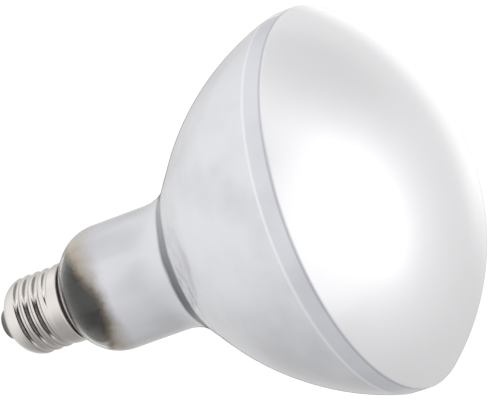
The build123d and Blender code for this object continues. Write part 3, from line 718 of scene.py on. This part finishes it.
def envelope_outline(glass):
    """Outer face of the blown glass from its sealed end to its apex, in metres."""
    shoulder_r = glass.neck_radius - glass.shoulder_radius
    fillet_r = glass.end_radius + glass.end_fillet
    join = glass.shoulder_radius + glass.end_fillet
    fillet_z = glass.shoulder - math.sqrt(join**2 - (fillet_r - shoulder_r) ** 2)
    lean = math.atan2(glass.shoulder - fillet_z, fillet_r - shoulder_r)
    bowl = glass.bowl_angle
    throat_r = glass.neck_radius + glass.bowl_fillet
    arc_r = throat_r - glass.bowl_fillet * math.cos(bowl) + glass.cone * math.sin(bowl)
    arc_z = glass.bowl_start + glass.bowl_fillet * math.sin(bowl) + glass.cone * math.cos(bowl)
    chord_r, chord_z = glass.band_back_radius - arc_r, glass.band_back - arc_z
    turn = 2 * (bowl - math.atan2(chord_r, chord_z))
    bowl_radius = math.hypot(chord_r, chord_z) / (2 * math.sin(turn / 2))
    bowl_centre = (arc_r - bowl_radius * math.cos(bowl), arc_z + bowl_radius * math.sin(bowl))
    rise = glass.total - glass.band_front
    dome = (glass.face_radius**2 + rise**2) / (2 * rise)
    dome_centre = (0, glass.total - dome)
    rim_lean = math.asin(glass.face_radius / dome)

    points = [(glass.end_radius, glass.end)]
    points += run(points[-1], (glass.end_radius, fillet_z), 8)
    points += arc((fillet_r, fillet_z), glass.end_fillet, math.pi, math.pi - lean, 8)
    points += arc((shoulder_r, glass.shoulder), glass.shoulder_radius, -lean, 0, 24)[1:]
    points += run(points[-1], (glass.neck_radius, glass.bowl_start), 14)
    points += arc((throat_r, glass.bowl_start), glass.bowl_fillet, math.pi, math.pi - bowl, 22)
    points += run(points[-1], (arc_r, arc_z), 10)
    points += arc(bowl_centre, bowl_radius, -bowl, turn - bowl, 56)[:-2]
    back, front = (glass.band_back_radius, glass.band_back), (glass.face_radius, glass.band_front)
    band_corner = rounded(points[-1], back, front, glass.band_round, 6)
    dome_points = arc(dome_centre, dome, math.pi / 2 - rim_lean, math.pi / 2, 72)
    rim_corner = rounded(band_corner[-1], front, dome_points[1], glass.rim_round, 8)
    points += band_corner + run(band_corner[-1], rim_corner[0], 6) + rim_corner + dome_points[1:]
    return points


def blown_waves(mesh, glass):
    """Small waves that blowing leaves in the glass, the fine ones only where the neck flares."""
    throat = glass.bowl_start + glass.bowl_fillet * 0.75
    stretch, calm, full = mm(9), mm(5), mm(60)
    slow_scale, slow_offset = 34, Vector((3.1, 0.4, 7.7))
    quick_scale = Vector((150, 150, 330))
    for vertex in mesh.vertices:
        place = vertex.co
        near = math.exp(-(((place.z - throat) / stretch) ** 2))
        slow = noise.noise(place * slow_scale + slow_offset)
        quick = noise.noise(place * quick_scale)
        push = glass.slow_waves * slow + glass.quick_waves * near * quick
        outward = Vector((place.x, place.y, 0))
        reach = outward.length
        if reach > calm:
            vertex.co = place + outward / reach * push * min(1.0, reach / full + 0.5)


class LAMP_OT_envelope(bpy.types.Operator):
    """Blows the glass envelope with its wall, its waves and its coats"""

    bl_idname = "lamp.envelope"
    bl_label = "Glass envelope"

    def execute(self, context):
        glass = context.scene.lamp_glass
        coats = envelope_finish(glass)
        mesh = lathe("blown_envelope", envelope_outline(glass), glass.segments)
        blown_waves(mesh, glass)
        piece = new_piece(mesh, coats)
        wall = piece.modifiers.new("Wall", "SOLIDIFY")
        wall.thickness = glass.wall
        wall.offset = -1
        wall.use_even_offset = True
        apply_modifiers(piece)
        piece.data.set_sharp_from_angle(angle=math.radians(60))
        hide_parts("glass_envelope")
        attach(piece, "root")
        pressed = clear_glass("clear_glass", (0.80, 0.84, 0.86), 1.5, clearness=0.4)
        paint(pressed, "glass_stem", "hook_bead")
        paint(clear_glass("quartz", (0.93, 0.94, 0.96), 1.46), "arc_tube")
        return {"FINISHED"}


# Inside


def coil_tree(coil, material):
    """Geometry tree that winds a fine coil along most of a ring."""
    sizes = {
        "Ring radius": coil.ring_radius,
        "Coil radius": coil.coil_radius,
        "Wire radius": coil.wire_radius,
        "Height": coil.height,
        "Gap": coil.gap,
        "Turns": float(coil.turns),
    }
    g = GeometryTree("wound_filament", sizes)
    ring, loop, thick, height, gap, turns = g.given
    points = coil.turns * coil.turn_steps
    spacing = (1 / points, 0, 0)
    line = g.make("GeometryNodeMeshLine", {"mode": "OFFSET"}, {"Count": points, "Offset": spacing})
    split = g.make("ShaderNodeSeparateXYZ", inputs={0: g.make("GeometryNodeInputPosition")})
    along = g.outputs(split)[0]
    round_ring = gap + along * (2 * math.pi - 2 * gap)
    round_wire = along * turns * (2 * math.pi)
    reach = ring + loop * round_wire.math("COSINE")
    place = g.make(
        "ShaderNodeCombineXYZ",
        inputs={
            0: reach * round_ring.math("COSINE"),
            1: reach * round_ring.math("SINE"),
            2: height + loop * round_wire.math("SINE"),
        },
    )
    wound = g.make("GeometryNodeSetPosition", inputs={"Geometry": line, "Position": place})
    curve = g.make("GeometryNodeMeshToCurve", inputs={0: wound})
    sides = {"Resolution": coil.wire_sides, "Radius": thick}
    section = g.make("GeometryNodeCurvePrimitiveCircle", inputs=sides)
    g.close(g.make("GeometryNodeCurveToMesh", inputs={0: curve, 1: section, "Fill Caps": True}), material)
    return g


class LAMP_OT_mount(bpy.types.Operator):
    """Winds the ballast filament and finishes the wires, sheets and seals inside the glass"""

    bl_idname = "lamp.mount"
    bl_label = "Inside of the lamp"

    def execute(self, context):
        coil = context.scene.lamp_coil
        tungsten = drawn_metal("tungsten", (0.30, 0.30, 0.32), 0.38)
        filament = new_piece(bpy.data.meshes.new("wound_filament"), tungsten)
        coil_tree(coil, tungsten).put_on(filament)
        apply_modifiers(filament)
        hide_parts("ballast_filament")
        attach(filament, "root")
        paint(tungsten, "filament_hooks", "electrode_upper", "electrode_lower", "starting_probe")
        paint(
            drawn_metal("nickel_wire", (0.60, 0.58, 0.55), 0.24),
            "lead_wire_centre",
            "lead_wire_side",
            "frame_post",
            "filament_post",
            "filament_return",
            "bead_wire",
            "shield_springs",
            "outer_lead_upper",
            "outer_lead_lower",
            "outer_lead_probe",
            "strap_upper",
            "strap_lower",
            "getter",
        )
        foil = drawn_metal("foil_metal", (0.50, 0.50, 0.52), 0.30)
        paint(foil, "foil_upper", "foil_lower", "foil_probe")
        paint(drawn_metal("shield_sheet", (0.68, 0.68, 0.68), 0.28, grain=500), "heat_shield")
        paint(matt_body("ceramic_body", (0.80, 0.75, 0.66), 0.5), "starting_resistor")
        return {"FINISHED"}


# Studio


def camera_axes(studio):
    """Right, up and back directions of the camera."""
    tilt, rise = studio.axis_angle, studio.axis_rise
    ahead = Vector((0, math.sin(tilt), -math.cos(tilt)))
    upright = Vector((0, math.cos(tilt), math.sin(tilt)))
    side = Vector((1, 0, 0))
    right = side * math.sin(rise) + upright * math.cos(rise)
    up = side * -math.cos(rise) + upright * math.sin(rise)
    return right, up, -ahead


def studio_world(studio, right, up, back):
    """Soft white room. Polished surfaces also see its light panels and its dark parts."""
    world = bpy.data.worlds.new("studio")
    world.use_nodes = True
    world.node_tree.nodes.clear()
    g = Graph(world.node_tree)
    way = g.make("ShaderNodeTexCoord")

    def along(direction):
        """How far a ray leans to a direction, from -1 to 1."""
        ends = {0: way, 1: direction}
        return g.make("ShaderNodeVectorMath", {"operation": "DOT_PRODUCT"}, ends, output=1)

    def patch(to_right, to_up, to_back, start, full):
        """Soft round part of the room about a direction."""
        return along(right * to_right + up * to_up + back * to_back).step(start, full)

    path = g.outputs(g.make("ShaderNodeLightPath"))
    from_camera, from_gloss = path[0], path[3]
    height, front, side = along(up), along(back), along(right)

    # What lights every surface: walls that are dimmer below and to the right, and a window in front.
    below = (0 - height).step(0.25, 0.95)
    window = patch(0.66, 0.10, 0.74, 0.58, 0.93)
    walls = studio.room - height * 0.05 - side * 0.17 + front * 0.04
    room = walls - below * studio.shadow + window * studio.window

    # Light panels above, to the left and beyond the lamp.
    panels = height.step(0.45, 0.85) * 0.3 + (0 - side).step(0.3, 0.9) * 0.3
    beyond = patch(0.34, 0.14, -0.93, 0.86, 0.97) * height.step(-0.1, 0.14) * 0.9

    # Dark parts: an opening round the camera, one overhead and one straight behind the lamp.
    across = (side + height * 0.45 - 0.25).math("ABSOLUTE")
    level = height.math("ABSOLUTE")
    opening = (1 - across.step(0.55, 0.75)) * (1 - level.step(0.6, 0.75)) * front.step(0.2, 0.4)
    overhead = patch(0.44, 0.90, -0.06, 0.84, 0.97)
    behind = (0 - front).step(0.975, 0.998)
    kept = (1 - opening * studio.dark) * (1 - behind * 0.8) * (1 - overhead * 0.6)
    polished = (room + panels + beyond) * kept
    seen = room + from_gloss * (polished - room)
    strength = seen + from_camera * (1.0 - seen)
    background = g.make("ShaderNodeBackground", inputs={"Color": (1, 1, 1, 1), "Strength": strength})
    output = world.node_tree.nodes.new("ShaderNodeOutputWorld")
    world.node_tree.links.new(background.socket, output.inputs["Surface"])
    return world


def soft_light(name, centre, facing, side, power):
    """Square soft light that faces a point."""
    data = bpy.data.lights.new(name, "AREA")
    data.shape = "SQUARE"
    data.size = side
    data.energy = power
    light = bpy.data.objects.new(name, data)
    bpy.context.scene.collection.objects.link(light)
    light.location = centre
    light.rotation_mode = "QUATERNION"
    light.rotation_quaternion = (facing - centre).to_track_quat("-Z", "Y")
    light.visible_camera = False
    return light


def window_light(centre, facing, side, power, glass):
    """Soft window that only the glass reflects, so that the cap keeps its dark bands."""
    window = soft_light("window", centre, facing, side, power)
    window.visible_diffuse = window.visible_transmission = False
    lit = bpy.data.collections.new("lit_by_window")
    lit.objects.link(glass)
    window.light_linking.receiver_collection = lit


def plain_floor(height):
    """Pale floor under the lamp. It lights nothing, so the room alone shapes the reflections."""
    f = Finish("floor_paint")
    speck = f.noise(40, detail=2)
    glow = f.mix(speck, (0.99, 0.99, 0.99), (1.0, 1.0, 1.0))
    shader = f.principled(Base_Color=(0, 0, 0), Emission_Color=glow, Emission_Strength=1.02)
    half = 6.0
    mesh = bpy.data.meshes.new("floor")
    corners = [(-half, -half, height), (half, -half, height), (half, half, height), (-half, half, height)]
    mesh.from_pydata(corners, [], [(0, 1, 2, 3)])
    floor = new_piece(mesh, f.finish(shader))
    floor.visible_diffuse = False
    floor.visible_glossy = False


class LAMP_OT_stage(bpy.types.Operator):
    """Sets the floor, the room, the soft lights and the camera"""

    bl_idname = "lamp.stage"
    bl_label = "Stage"

    def execute(self, context):
        scene, studio = context.scene, context.scene.lamp_studio
        scene.view_settings.view_transform = "Standard"
        right, up, back = camera_axes(studio)
        scene.world = studio_world(studio, right, up, back)
        plain_floor(CAD_BOX[0][2] - mm(0.05))
        middle = Vector((0, 0, mm(90)))
        key = middle + up * 0.9 + back * 0.7 - right * 0.5
        soft_light("key", key, middle, studio.key_side, studio.key_power)
        window = middle + (right * 0.60 + up * 0.06 + back * 0.80) * 0.6
        glass = bpy.data.objects["blown_envelope"]
        window_light(window, middle, studio.window_side, studio.window_power, glass)

        data = bpy.data.cameras.new("camera")
        data.sensor_width = 36
        data.lens = studio.focal_pixels / PICTURE_WIDTH * data.sensor_width
        data.clip_start, data.clip_end = 0.05, 60
        camera = bpy.data.objects.new("camera", data)
        scene.collection.objects.link(camera)
        framed = Vector((0, 0, studio.framed_height))
        scale = studio.distance / studio.focal_pixels
        across = (studio.framed_x - PICTURE_WIDTH / 2) * scale
        down = (studio.framed_y - PICTURE_HEIGHT / 2) * scale
        place = framed - right * across + up * down + back * studio.distance
        camera.matrix_world = Matrix.Translation(place) @ Matrix((right, up, back)).transposed().to_4x4()
        scene.camera = camera
        return {"FINISHED"}


class LAMP_PT_panel(bpy.types.Panel):
    """Lamp's pieces and sizes"""

    bl_idname = "LAMP_PT_panel"
    bl_label = "Lamp"
    bl_space_type = "VIEW_3D"
    bl_region_type = "UI"
    bl_category = "Lamp"

    def draw(self, context):
        for operator in OPERATORS:
            self.layout.operator(operator.bl_idname)
        for name, group in GROUPS.items():
            box = self.layout.box()
            box.label(text=group.__doc__)
            for prop in group.__annotations__:
                box.prop(getattr(context.scene, name), prop)


OPERATORS = [LAMP_OT_cap, LAMP_OT_envelope, LAMP_OT_mount, LAMP_OT_stage]
GROUPS = {
    "lamp_cap": CapSettings,
    "lamp_glass": GlassSettings,
    "lamp_coil": CoilSettings,
    "lamp_studio": StudioSettings,
}


def register():
    for kind in [*GROUPS.values(), *OPERATORS, LAMP_PT_panel]:
        bpy.utils.register_class(kind)
    for name, group in GROUPS.items():
        setattr(bpy.types.Scene, name, bpy.props.PointerProperty(type=group))


def unregister():
    for name in GROUPS:
        delattr(bpy.types.Scene, name)
    for kind in reversed([*GROUPS.values(), *OPERATORS, LAMP_PT_panel]):
        bpy.utils.unregister_class(kind)


def main():
    register()
    bpy.ops.lamp.cap()
    bpy.ops.lamp.envelope()
    bpy.ops.lamp.mount()
    bpy.ops.lamp.stage()


if __name__ == "__main__":
    main()
